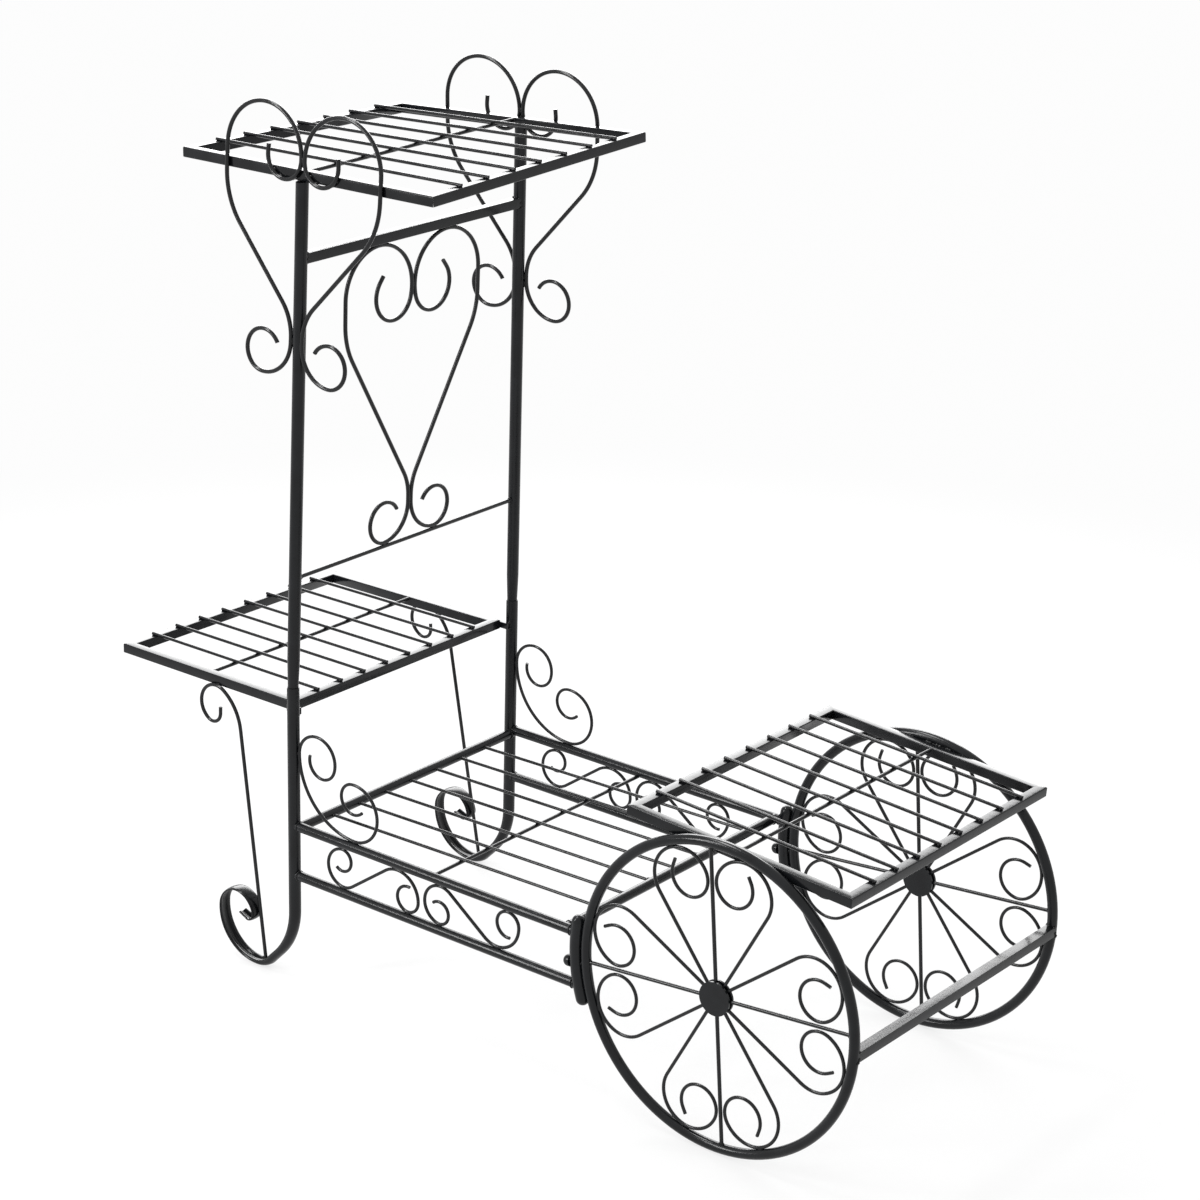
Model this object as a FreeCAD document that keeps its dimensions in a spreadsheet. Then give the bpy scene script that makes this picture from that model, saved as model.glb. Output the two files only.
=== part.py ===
"""Flower cart stand: a welded steel plant stand in the shape of a two-wheeled cart.

Millimetres and degrees, +Z up, +X from the posts towards the wheels, -Y the near side.
The origin is on the floor, at the middle of the footprint.
"""
import FreeCAD, Part
import math
import os

Vector = FreeCAD.Vector
Placement = FreeCAD.Placement
Rotation = FreeCAD.Rotation

SIZES = (
    # side frames and posts
    ("track_width", 400.0, "post axis to post axis, and wheel plane to wheel plane"),
    ("post_outer", 15.0, "outer diameter of the post tube"),
    ("post_wall", 1.0, "wall of the post tube"),
    ("socket_height", 380.0, "floor to the mouth of the lower posts"),
    ("swage_length", 34.0, "taper at the lower end of the upper post"),
    ("plug_length", 30.0, "part of the upper post that stands inside the lower post"),
    ("plug_clearance", 0.15, "radial clearance of that plug"),
    ("lean_forward", 11.0, "how far the upper posts lean forward at the top shelf"),
    ("lean_inward", 11.0, "how far each upper post leans inward at the top shelf"),
    # scroll feet
    ("foot_bend_radius", 90.0, "bend from the post into the foot"),
    ("foot_straight", 21.0, "straight run from that bend to the heel"),
    ("foot_heel_radius", 28.0, "heel, the bend that rests on the floor"),
    ("foot_heel_back", 60.0, "centre of the heel behind the post axis"),
    ("foot_sole_radius", 57.0, "wide bend that rises behind the heel"),
    ("foot_sole_back", 62.0, "centre of that bend behind the post axis"),
    ("foot_loop_radius", 27.5, "loop over the top of the foot"),
    ("foot_loop_angle", 175.5, "where on the wide bend the loop starts"),
    ("foot_curl_radius", 9.5, "curl that closes the foot"),
    ("foot_curl_angle", 10.0, "where on the loop the curl starts"),
    ("foot_curl_end", -112.0, "where the curl straightens"),
    ("foot_tip_run", 12.0, "straight tip of the foot"),
    ("foot_thickness", 4.0, "thickness of the flattened tube at the tip"),
    ("foot_width", 18.5, "width of the flattened tube"),
    ("foot_flat_turn", 150.0, "how far the tube has turned when it is quite flat"),
    # side rails and bottom shelf
    ("rail_outer", 12.0, "outer diameter of the round rails"),
    ("rail_wall", 1.0, "wall of the round rails"),
    ("upper_rail_height", 202.7, "axis of the upper side rails"),
    ("lower_rail_height", 138.5, "axis of the lower side rails"),
    ("front_tube_setback", 15.8, "front tube of the bottom shelf behind the bracket's axis"),
    ("rear_tube_lead", 3.5, "rear tube of the bottom shelf ahead of the post axis"),
    ("rear_tube_drop", 3.8, "rear tube of the bottom shelf below the upper side rails"),
    ("bottom_slats", 7, "rods of the bottom shelf"),
    ("bottom_slat_pitch", 46.7, "rod to rod on the bottom shelf"),
    ("bottom_slat_drop", 0.5, "rear end of those rods below the axis of the rear tube"),
    ("bottom_slat_rise", 3.8, "front end of those rods above the axis of the front tube"),
    # shelf frames
    ("shelf_tube", 12.0, "side of the square shelf tube"),
    ("shelf_wall", 1.0, "wall of the square shelf tube"),
    ("slat_diameter", 4.0, "shelf rods"),
    ("cross_rod_diameter", 4.5, "rod under the shelf rods"),
    ("slat_setback", 3.5, "ends of the shelf rods inside the outer faces of the frame"),
    ("weld_sink", 0.1, "depth that a rod sinks into what it is welded to"),
    ("top_shelf_length", 380.0, "top shelf along X"),
    ("top_shelf_width", 373.0, "top shelf along Y"),
    ("top_shelf_height", 998.5, "top of its frame at the middle"),
    ("top_shelf_rise", 1.75, "slope of the top shelf, front end up"),
    ("top_rear_tilt", -1.2, "far end of its rear rail above the near end"),
    ("top_front_tilt", 13.9, "far end of its front rail above the near end"),
    ("top_slats", 7, "rods of the top shelf"),
    ("middle_shelf_length", 288.5, "middle shelf along X"),
    ("middle_shelf_width", 377.0, "middle shelf along Y"),
    ("middle_shelf_height", 353.0, "top of its frame at the middle"),
    ("middle_shelf_rise", 0.4, "slope of the middle shelf, front end up"),
    ("middle_shelf_gap", 10.0, "post axis to the front face of the middle shelf"),
    ("middle_rear_tilt", -4.4, "far end of its rear rail above the near end"),
    ("middle_front_tilt", -1.5, "far end of its front rail above the near end"),
    ("middle_slats", 8, "rods of the middle shelf"),
    ("lug_height", 8.0, "lug between the middle shelf and the post"),
    ("lug_length", 20.0, "the same lug along X"),
    ("lug_lap", 2.0, "how far the lug passes the post axis"),
    ("front_shelf_length", 298.0, "front shelf along X"),
    ("front_shelf_height", 363.6, "top of its frame at the middle"),
    ("front_shelf_lead", 15.0, "its middle ahead of the wheel axis"),
    ("front_shelf_drop", 3.75, "slope of the front shelf, front end down"),
    ("front_slats", 8, "rods of the front shelf"),
    # wheels
    ("wheel_reach", 627.5, "post axis to wheel axis"),
    ("wheel_radius", 186.5, "outside of the rim"),
    ("rim_outer", 12.0, "outer diameter of the rim tube"),
    ("rim_wall", 1.0, "wall of the rim tube"),
    ("spoke_diameter", 4.5, "straight spokes"),
    ("spoke_start", 4.0, "inner end of each spoke from the wheel axis"),
    ("wheel_turn", 5.0, "angle of the pattern in the wheel"),
    ("wheel_wire", 4.0, "scroll wire of the wheels"),
    ("hub_diameter", 40.0, "hub disc"),
    ("hub_thickness", 2.5, "one hub disc"),
    ("hub_lap", 7.0, "scroll wire that the hub disc covers"),
    ("wheel_loop_radius", 37.0, "large bend of a wheel scroll"),
    ("wheel_curl_radius", 24.0, "small bend of a wheel scroll"),
    ("wheel_curl_start", -62.0, "where on the large bend the small one starts"),
    ("wheel_curl_end", 68.0, "where the small bend straightens"),
    ("wheel_tip_run", 8.0, "straight tip of a wheel scroll"),
    ("crossbar_drop", 2.4, "crossbar below the wheel axis, as an angle on the rim"),
    # wheel brackets
    ("bracket_outer", 16.0, "diameter of the wheel bracket"),
    ("bracket_top", 8.7, "upper end of the bracket above the wheel axis, as an angle"),
    ("bracket_bottom", 19.0, "lower end of the bracket below the wheel axis, as an angle"),
    ("bolt_drop", 6.2, "bracket bolt below the wheel axis, as an angle"),
    ("bolt_shank", 6.0, "shank of the bracket bolt"),
    ("bolt_hole", 6.4, "hole for the bolt in the bracket"),
    ("bolt_head", 14.0, "diameter of the domed bolt head"),
    ("bolt_collar", 3.0, "straight collar under the dome"),
    # scroll wire of the side frames
    ("scroll_wire", 4.0, "wire of the side scrolls"),
    ("corner_back_radius", 87.5, "back of the corner scroll, which touches post and rail"),
    ("corner_upper_radius", 28.5, "upper loop of the corner scroll"),
    ("corner_upper_curl", 20.0, "curl inside the upper loop"),
    ("corner_upper_angle", -20.0, "where on the upper loop that curl starts"),
    ("corner_upper_end", 165.0, "where that curl ends"),
    ("corner_lower_radius", 36.0, "lower loop of the corner scroll"),
    ("corner_lower_curl", 19.0, "curl inside the lower loop"),
    ("corner_lower_angle", 95.0, "where on the lower loop that curl starts"),
    ("corner_lower_end", 315.0, "where that curl ends"),
    ("wave_reach", 79.5, "post axis to the first loop of the rear wave scroll"),
    ("wave_gap", 29.0, "between the two loops of a wave scroll"),
    ("wave_curl", 14.0, "curl inside the first loop"),
    ("wave_curl_angle", 100.0, "where on the first loop that curl starts"),
    ("wave_first_end", 230.0, "where that curl ends"),
    ("wave_last_end", 80.0, "where the curl of the second loop ends"),
    ("wave_spacing", 10.0, "between the rear and the front wave scroll"),
    # foot brace
    ("brace_wire", 4.5, "wire of the foot brace"),
    ("brace_loop_radius", 24.3, "loop under the middle shelf"),
    ("brace_curl_radius", 13.0, "curl inside that loop"),
    ("brace_curl_angle", -117.0, "where on the loop that curl starts"),
    ("brace_tip_run", 9.0, "straight tip of that curl"),
    ("brace_shoulder_radius", 61.5, "wide bend from the loop into the straight run"),
    ("brace_shoulder_angle", 59.0, "where on the loop that bend starts"),
    ("brace_loop_back", 137.0, "loop centre behind the post axis"),
    ("brace_rise", 2.0, "centre of the wire above the underside of the shelf rail"),
    ("brace_foot_back", 50.0, "lower end of the brace behind the post axis"),
    # hearts
    ("heart_wire", 5.0, "wire of all three hearts"),
    ("heart_loop_radius", 57.0, "upper loop of a heart"),
    ("heart_hip_radius", 90.0, "bend from the straight run into the loop"),
    ("heart_hip_drop", 27.5, "centre of that bend below the loop centre"),
    ("heart_hook_radius", 25.5, "hook inside the loop of a side heart"),
    ("heart_hook_angle", 180.0, "where on the loop that hook starts"),
    ("heart_hook_end", 5.0, "where that hook straightens"),
    ("heart_loop_height", 1007.5, "loop centre of a side heart"),
    ("heart_weld_height", 803.0, "where a side heart meets the post"),
    ("heart_weld_out", 5.0, "axis of its wire outside the post axis at that weld"),
    ("heart_shoulder_radius", 60.0, "bend from the weld into the straight run"),
    ("heart_sweep_radius", 42.0, "bend from the lower curl to the weld"),
    ("heart_sweep_drop", 5.0, "centre of that bend below the weld of a side heart"),
    ("heart_curl_radius", 25.0, "lower curl of a heart"),
    ("heart_curl_angle", -90.0, "where on that bend the lower curl starts"),
    ("heart_curl_end", 150.0, "where the lower curl ends"),
    ("heart_tip_run", 9.0, "straight tip of the upper hook"),
    # back panel
    ("back_bar_height", 896.0, "axis of the bar between the upper posts"),
    ("back_rod_height", 515.5, "axis of the rod between the upper posts"),
    ("back_rod_diameter", 5.0, "that rod"),
    ("back_hook_radius", 30.5, "hook inside the loop of the back heart"),
    ("back_hook_angle", 195.0, "where on the loop that hook starts"),
    ("back_hook_end", 38.0, "where that hook straightens"),
    ("back_weld_rise", 54.0, "rod axis to the point where the two halves part"),
)


def fill_sheet(document, name, sizes):
    """Write each size once into the sheet and return its values by alias."""
    sheet = document.addObject("Spreadsheet::Sheet", name)
    for row, (alias, value, meaning) in enumerate(sizes, start=1):
        sheet.set(f"A{row}", meaning)
        sheet.set(f"B{row}", str(value))
        sheet.setAlias(f"B{row}", alias)
    document.recompute()
    return {alias: sheet.get(alias) for alias, _, _ in sizes}


doc = FreeCAD.newDocument("flower_cart_stand")
size = fill_sheet(doc, "Sizes", SIZES)
nodes = []

UP = Vector(0, 0, 1)
SIDES = (("near", -1), ("far", 1))
TOLERANCE = 1e-4             # shorter edges of a path are dropped
SECTION_STEP = 6.0           # degrees between two sections of the flattened foot
QUARTER_TURN = 90
SPOKES = 4
FORWARD, BACKWARD, DOWNWARD = 0, 180, -90    # angles in the side view
SECOND_LOOP_SHARE = 2 / 3    # radius of the second loop of a wave, of the gap between the rails
LAST_CURL_SHARE = 1 / 3      # radius of the curl that ends it, of the same gap

sink = size["weld_sink"]
half_track = size["track_width"] / 2
post_radius = size["post_outer"] / 2
rail_radius = size["rail_outer"] / 2
rim_radius = size["rim_outer"] / 2
rim_path_radius = size["wheel_radius"] - rim_radius
bracket_path_radius = size["wheel_radius"] + size["bracket_outer"] / 2 - sink
rear_reach = size["middle_shelf_gap"] + size["middle_shelf_length"]
front_reach = size["wheel_reach"] + size["wheel_radius"]
post_x = (rear_reach - front_reach) / 2
wheel_x = post_x + size["wheel_reach"]
wheel_z = size["wheel_radius"]


# ---------------------------------------------------------------- helpers

def finish(label, thing):
    """Name a finished sub-part and keep it for the check and the export."""
    thing.Label = label
    nodes.append(thing)
    return thing


def hidden(kind, **numbers):
    """A helper object whose numeric properties are expressions of the sheet."""
    thing = doc.addObject(kind, "helper")
    for key, expression in numbers.items():
        thing.setExpression(key, str(expression))
    return thing


def cell(alias):
    return f"Sizes.{alias}"


def cut(base, *tools):
    """Base less all the tools."""
    result = doc.addObject("Part::Cut", "cut")
    result.Base = base
    if len(tools) == 1:
        result.Tool = tools[0]
    else:
        joined = doc.addObject("Part::MultiFuse", "tools")
        joined.Shapes = list(tools)
        result.Tool = joined
    return result


def fuse(*shapes):
    result = doc.addObject("Part::MultiFuse", "fuse")
    result.Shapes = list(shapes)
    return result


def group(*shapes):
    """Separate solids that share one sub-part."""
    result = doc.addObject("Part::Compound", "group")
    result.Links = list(shapes)
    return result


def rod(radius, start, end):
    """A round rod from start to end; the radius is an expression."""
    thing = hidden("Part::Cylinder", Radius=radius)
    thing.Height = (end - start).Length
    thing.Placement = Placement(start, Rotation(UP, end - start))
    return thing


def tube(outer, wall, start, end):
    """A round tube from start to end; outer and wall are aliases."""
    along = (end - start).normalize()
    skin = rod(f"{cell(outer)} / 2", start, end)
    bore = rod(f"{cell(outer)} / 2 - {cell(wall)}", start - along, end + along)
    return cut(skin, bore)


def ring(path_radius, tube_radius, centre):
    """A full ring about the wheel axis; both radii are expressions or numbers."""
    thing = hidden("Part::Torus", Radius1=path_radius, Radius2=tube_radius)
    thing.Placement = Placement(centre, Rotation(Vector(1, 0, 0), 90))
    return thing


# A flat wire path is a chain of circles (x, z, radius, turn), turn +1 anticlockwise and
# -1 clockwise, joined by their common tangents. Circles that touch join where they touch.

def heading_between(first, second):
    """Heading, in degrees, of the straight run from one circle to the next."""
    dx = second[0] - first[0]
    dz = second[1] - first[1]
    lean = (second[3] * second[2] - first[3] * first[2]) / math.hypot(dx, dz)
    return math.degrees(math.atan2(dz, dx) - math.asin(max(-1.0, min(1.0, lean))))


def on_circle(circle, angle):
    """The point of a circle at an angle in degrees."""
    x, z, radius, _ = circle
    return Vector(x + radius * math.cos(math.radians(angle)), 0,
                  z + radius * math.sin(math.radians(angle)))


def nested(outer, radius, angle):
    """A circle inside or around another, touching it at the angle and turning the same way."""
    touch = on_circle((outer[0], outer[1], outer[2] - radius, 0), angle)
    return (touch.x, touch.z, radius, outer[3])


def arcs_of(circles, start_angle, end_angle):
    """For each circle, the angle where the path meets it and the signed sweep on it."""
    result = []
    arrive = start_angle
    for index, circle in enumerate(circles):
        turn = circle[3]
        if index + 1 < len(circles):
            heading = heading_between(circle, circles[index + 1])
            leave = heading - 90 * turn
        else:
            leave = end_angle
        sweep = ((leave - arrive) * turn) % 360
        if 360 - sweep < TOLERANCE:
            sweep = 0.0
        result.append((circle, arrive, sweep * turn))
        if index + 1 < len(circles):
            arrive = heading - 90 * circles[index + 1][3]
    return result


def path_points(circles, start_angle, end_angle, tip_run, step):
    """Points and headings along the path, close enough together to loft through."""
    result = []
    for circle, arrive, sweep in arcs_of(circles, start_angle, end_angle):
        count = max(1, math.ceil(abs(sweep) / step))
        for index in range(count + 1):
            angle = arrive + sweep * index / count
            result.append((on_circle(circle, angle), angle + 90 * circle[3]))
    point, heading = result[-1]
    result.append((point + run(heading, tip_run), heading))
    return result


def run(heading, length):
    """A straight run in the XZ plane."""
    return Vector(length * math.cos(math.radians(heading)), 0,
                  length * math.sin(math.radians(heading)))


def path_wire(circles, start_angle, end_angle, tip_run=0.0):
    """The path as arcs joined by their tangents, with an optional straight run at its end."""
    edges = []
    last_point = on_circle(circles[0], start_angle)
    for circle, arrive, sweep in arcs_of(circles, start_angle, end_angle):
        begin = on_circle(circle, arrive)
        if (begin - last_point).Length > TOLERANCE:
            edges.append(Part.LineSegment(last_point, begin).toShape())
        else:
            begin = last_point
        last_point = begin
        if circle[2] and abs(sweep) > TOLERANCE:
            middle = on_circle(circle, arrive + sweep / 2)
            last_point = on_circle(circle, arrive + sweep)
            edges.append(Part.Arc(begin, middle, last_point).toShape())
        heading = arrive + sweep + 90 * circle[3]
    if tip_run:
        edges.append(Part.LineSegment(last_point, last_point + run(heading, tip_run)).toShape())
    return Part.Wire(edges)


def bent_wire(diameter, wire, placement):
    """Round wire of the diameter in a cell, bent to a flat path and put in place."""
    spine = doc.addObject("Part::Feature", "spine")
    spine.Shape = wire
    section = hidden("Part::Circle", Radius=f"{cell(diameter)} / 2")
    start = wire.OrderedEdges[0]
    along = start.tangentAt(start.FirstParameter)
    section.Placement = Placement(wire.OrderedVertexes[0].Point, Rotation(UP, along))
    sweep = doc.addObject("Part::Sweep", "sweep")
    sweep.Sections = [section]
    sweep.Spine = spine
    sweep.Solid = True
    sweep.Placement = placement
    return sweep


def at(x, y, z=0.0, rotation=Rotation()):
    return Placement(Vector(x, y, z), rotation)


# ---------------------------------------------------------------- shelves

def mitred_rail(length, placement):
    """Square tube along its own X, outer face towards its own +Y, both ends cut at 45 degrees.

    Each end is cut by a block twice as wide as the tube, turned about the outer corner.
    """
    side = size["shelf_tube"]
    wall = size["shelf_wall"]
    skin = hidden("Part::Box", Width=cell("shelf_tube"), Height=cell("shelf_tube"))
    skin.Length = length
    skin.Placement = at(-length / 2, -side / 2, -side)
    inside = f"{cell('shelf_tube')} - 2 * {cell('shelf_wall')}"
    bore = hidden("Part::Box", Width=inside, Height=inside)
    bore.Length = length + 2 * side
    bore.Placement = at(-length / 2 - side, -side / 2 + wall, -side + wall)
    tools = [bore]
    block_side = f"2 * {cell('shelf_tube')}"
    for end in (-1, 1):
        block = hidden("Part::Box", Length=block_side, Width=block_side, Height=block_side)
        block.Placement = at(end * length / 2, side / 2, -side - side / 2,
                             Rotation(UP, -1.5 * QUARTER_TURN))
        tools.append(block)
    rail = cut(skin, *tools)
    rail.Placement = placement
    return rail


def framed_shelf(name, length, width, count, frame, rear_tilt=0.0, front_tilt=0.0):
    """A mitred square-tube frame with rods on top and one cross rod under them.

    The tilts are how far the far end of the rear and front rail stands above the near end.
    Returns the placement of each rail, by side.
    """
    side = size["shelf_tube"]
    half = length / 2

    def surface(x, y, rise):
        """A point at a rise above the top of the frame."""
        tilt = (rear_tilt + front_tilt) / 2 + (front_tilt - rear_tilt) * x / length
        return frame.multVec(Vector(x, y, rise + tilt * y / width))

    corners = [surface(x, y, 0) for x, y in
               ((-half, width / 2), (half, width / 2), (half, -width / 2), (-half, -width / 2))]
    rails = {}
    for index, place in enumerate(("far", "front", "near", "rear")):
        first = corners[index]
        second = corners[(index + 1) % len(corners)]
        along = (second - first).normalize()
        outward = frame.Rotation.multVec(UP).cross(along).normalize()
        upward = along.cross(outward)
        rails[place] = Placement((first + second) / 2 - outward * side / 2,
                                 Rotation(along, outward, upward, "XYZ"))
        finish(f"{name}_{place}_rail", mitred_rail((second - first).Length, rails[place]))

    rest = size["slat_diameter"] / 2 - sink
    stop = half - size["slat_setback"]
    slats = []
    for index in range(count):
        y = (width - side) * ((index + 1) / (count + 1) - 0.5)
        slats.append(rod(f"{cell('slat_diameter')} / 2",
                         surface(-stop, y, rest), surface(stop, y, rest)))
    finish(f"{name}_slats", group(*slats))
    under = sink - size["cross_rod_diameter"] / 2
    reach = width / 2 - side + sink
    finish(f"{name}_cross_rod", rod(f"{cell('cross_rod_diameter')} / 2",
                                    surface(0, -reach, under), surface(0, reach, under)))
    return rails


top_frame = at(post_x + size["lean_forward"], 0, size["top_shelf_height"],
               Rotation(Vector(0, 1, 0), -size["top_shelf_rise"]))
middle_frame = at(post_x - size["middle_shelf_gap"] - size["middle_shelf_length"] / 2, 0,
                  size["middle_shelf_height"],
                  Rotation(Vector(0, 1, 0), -size["middle_shelf_rise"]))
front_frame = at(wheel_x + size["front_shelf_lead"], 0, size["front_shelf_height"],
                 Rotation(Vector(0, 1, 0), size["front_shelf_drop"]))
front_shelf_width = size["track_width"] - size["rim_outer"] + 2 * sink

top_rails = framed_shelf("top_shelf", size["top_shelf_length"], size["top_shelf_width"],
                         int(size["top_slats"]), top_frame,
                         size["top_rear_tilt"], size["top_front_tilt"])
framed_shelf("middle_shelf", size["middle_shelf_length"], size["middle_shelf_width"],
             int(size["middle_slats"]), middle_frame,
             size["middle_rear_tilt"], size["middle_front_tilt"])
framed_shelf("front_shelf", size["front_shelf_length"], front_shelf_width,
             int(size["front_slats"]), front_frame)


# ---------------------------------------------------------------- posts

def post_axis(sign, height):
    """A point on the axis of an upper post."""
    share = (height - size["socket_height"]) / (size["top_shelf_height"] - size["socket_height"])
    return Vector(post_x + share * size["lean_forward"],
                  sign * (half_track - share * size["lean_inward"]), height)


def foot_half_thickness(turned):
    """Half the thickness of the tube after the path has turned by so many degrees."""
    share = min(1.0, turned / size["foot_flat_turn"])
    return post_radius + share * (size["foot_thickness"] / 2 - post_radius)


def foot_half_width(turned):
    """Half the width of the tube after the path has turned by so many degrees."""
    share = min(1.0, turned / size["foot_flat_turn"])
    return post_radius + share * (size["foot_width"] / 2 - post_radius)


heel_half_thickness = foot_half_thickness(QUARTER_TURN)
heel_height = size["foot_heel_radius"] + heel_half_thickness
bend_height = heel_height + math.sqrt(
    (size["foot_bend_radius"] - size["foot_heel_radius"]) ** 2 + size["foot_straight"] ** 2
    - (size["foot_bend_radius"] - size["foot_heel_back"]) ** 2)


def scroll_foot(sign):
    """The bent and flattened lower end of a post, lofted through ellipses."""
    bend = (-size["foot_bend_radius"], bend_height, size["foot_bend_radius"], -1)
    heel = (-size["foot_heel_back"], heel_height, size["foot_heel_radius"], -1)
    sole = (-size["foot_sole_back"], size["foot_sole_radius"] + heel_half_thickness,
            size["foot_sole_radius"], -1)
    loop = nested(sole, size["foot_loop_radius"], size["foot_loop_angle"])
    curl = nested(loop, size["foot_curl_radius"], size["foot_curl_angle"])
    stations = path_points([bend, heel, sole, loop, curl], 0, size["foot_curl_end"],
                           size["foot_tip_run"], SECTION_STEP)
    sections = []
    turned = 0.0
    before, heading_before = stations[0]
    for point, heading in stations:
        if sections and (point - before).Length < TOLERANCE:
            continue
        turned += (heading_before - heading) % 360
        before, heading_before = point, heading
        section = doc.addObject("Part::Ellipse", "section")
        section.MajorRadius = foot_half_width(turned)
        section.MinorRadius = foot_half_thickness(turned)
        section.Placement = Placement(point, Rotation(Vector(0, 1, 0), Vector(),
                                                      run(heading, 1.0), "ZXY"))
        sections.append(section)
    loft = doc.addObject("Part::Loft", "foot")
    loft.Sections = sections
    loft.Solid = True
    loft.Ruled = True
    loft.Placement = at(post_x, sign * half_track)
    return loft


post_envelopes = {}
for end, sign in SIDES:
    mouth = Vector(post_x, sign * half_track, size["socket_height"])
    bend_start = Vector(post_x, sign * half_track, bend_height)
    straight = tube("post_outer", "post_wall", bend_start, mouth)
    finish(f"lower_post_{end}", fuse(straight, scroll_foot(sign)))
    post_envelopes[end] = rod(f"{cell('post_outer')} / 2", bend_start, mouth)


def upper_post(end, sign):
    """Leaning tube, tapered at its lower end into the plug that stands in the lower post."""
    mouth = size["socket_height"]
    along = post_axis(sign, size["top_shelf_height"]) - post_axis(sign, mouth)
    along.normalize()
    taper_top = post_axis(sign, mouth + size["swage_length"])
    plug_radius = f"{cell('post_outer')} / 2 - {cell('post_wall')} - {cell('plug_clearance')}"
    foot = post_axis(sign, mouth)
    plug_end = foot - Vector(0, 0, size["plug_length"])
    plug = rod(plug_radius, plug_end, foot)
    swage = doc.addObject("Part::Loft", "swage")
    rings = []
    for radius, centre, normal in ((plug_radius, foot, UP),
                                   (f"{cell('post_outer')} / 2", taper_top, along)):
        circle = hidden("Part::Circle", Radius=radius)
        circle.Placement = Placement(centre, Rotation(UP, normal))
        rings.append(circle)
    swage.Sections = rings
    swage.Solid = True
    swage.Ruled = True
    body = rod(f"{cell('post_outer')} / 2", taper_top, post_axis(sign, size["top_shelf_height"]))
    bore_radius = f"{plug_radius} - {cell('post_wall')}"
    bore = rod(bore_radius, plug_end - UP, foot)
    upper_bore = rod(bore_radius, foot, post_axis(sign, size["top_shelf_height"]) + along)
    trim = hidden("Part::Box", Length=cell("top_shelf_length"), Width=cell("top_shelf_length"),
                  Height=cell("top_shelf_length"))
    trim.Placement = top_rails[end].multiply(at(-size["top_shelf_length"] / 2,
                                                -size["top_shelf_length"] / 2,
                                                sink - size["shelf_tube"]))
    finish(f"upper_post_{end}", cut(fuse(plug, swage, body), bore, upper_bore, trim))


for end, sign in SIDES:
    upper_post(end, sign)


# ---------------------------------------------------------------- side rails and wheel brackets

rail_heights = {"upper": size["upper_rail_height"], "lower": size["lower_rail_height"]}


def bracket_x(height):
    """X of the bracket's axis at a height."""
    rise = height - wheel_z
    return wheel_x - math.sqrt(bracket_path_radius ** 2 - rise ** 2)


rail_envelopes = {}
for end, sign in SIDES:
    y = sign * half_track
    hub = Vector(wheel_x, y, wheel_z)
    bracket_envelope = ring(bracket_path_radius, f"{cell('bracket_outer')} / 2", hub)
    for level, height in rail_heights.items():
        start = Vector(post_x, y, height)
        stop = Vector(bracket_x(height), y, height)
        rail = tube("rail_outer", "rail_wall", start, stop)
        finish(f"{level}_side_rail_{end}", cut(rail, post_envelopes[end], bracket_envelope))
        rail_envelopes[level, end] = rod(f"{cell('rail_outer')} / 2", start, stop)


def bolt_line(sign, inner, outer):
    """The bracket bolt's axis between two distances from the wheel axis."""
    angle = 180 + size["bolt_drop"]
    hub = Vector(wheel_x, sign * half_track, wheel_z)
    return [hub + run(angle, reach) for reach in (inner, outer)]


def wheel_bracket(sign):
    """A bent bar that lies along the back of the rim, with rounded ends and one bolt hole."""
    hub = Vector(wheel_x, sign * half_track, wheel_z)
    first = 180 - size["bracket_top"]
    last = 180 + size["bracket_bottom"]
    path = path_wire([(0, 0, bracket_path_radius, 1)], first, last)
    bar = bent_wire("bracket_outer", path, Placement(hub, Rotation()))
    ends = []
    for angle in (first, last):
        ball = hidden("Part::Sphere", Radius=f"{cell('bracket_outer')} / 2")
        ball.Placement = Placement(hub + run(angle, bracket_path_radius), Rotation())
        ends.append(ball)
    reach = size["bracket_outer"]
    hole = rod(f"{cell('bolt_hole')} / 2",
               *bolt_line(sign, bracket_path_radius - reach, bracket_path_radius + reach))
    return cut(fuse(bar, *ends), hole)


def bracket_bolt(sign):
    """Round-headed bolt through the bracket into the rim tube."""
    seat = bracket_path_radius + size["bracket_outer"] / 2 - sink
    shank = rod(f"{cell('bolt_shank')} / 2", *bolt_line(sign, rim_path_radius, seat))
    collar = rod(f"{cell('bolt_head')} / 2", *bolt_line(sign, seat, seat + size["bolt_collar"]))
    dome = hidden("Part::Sphere", Radius=f"{cell('bolt_head')} / 2", Angle1=0)
    base, tip = bolt_line(sign, seat + size["bolt_collar"], seat + 2 * size["bolt_collar"])
    dome.Placement = Placement(base, Rotation(UP, tip - base))
    return fuse(shank, collar, dome)


for end, sign in SIDES:
    finish(f"wheel_bracket_{end}", wheel_bracket(sign))
finish("bracket_bolts", group(*[bracket_bolt(sign) for _, sign in SIDES]))


# ---------------------------------------------------------------- bottom shelf

upper_rails = [rail_envelopes["upper", end] for end, _ in SIDES]
rail_top = size["upper_rail_height"] + rail_radius
front_tube_x = bracket_x(size["upper_rail_height"]) - size["front_tube_setback"]


def across(x, height):
    """The two ends of a line across the stand, post plane to post plane."""
    return [Vector(x, sign * half_track, height) for sign in (-1, 1)]


rear_tube_x = post_x + size["rear_tube_lead"]
rear_tube_height = size["upper_rail_height"] - size["rear_tube_drop"]
front_tube_height = size["upper_rail_height"]
rear_tube = tube("rail_outer", "rail_wall", *across(rear_tube_x, rear_tube_height))
finish("bottom_shelf_rear_tube", cut(rear_tube, *post_envelopes.values(), *upper_rails))
front_tube = tube("rail_outer", "rail_wall", *across(front_tube_x, front_tube_height))
finish("bottom_shelf_front_tube", cut(front_tube, *upper_rails))

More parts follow.
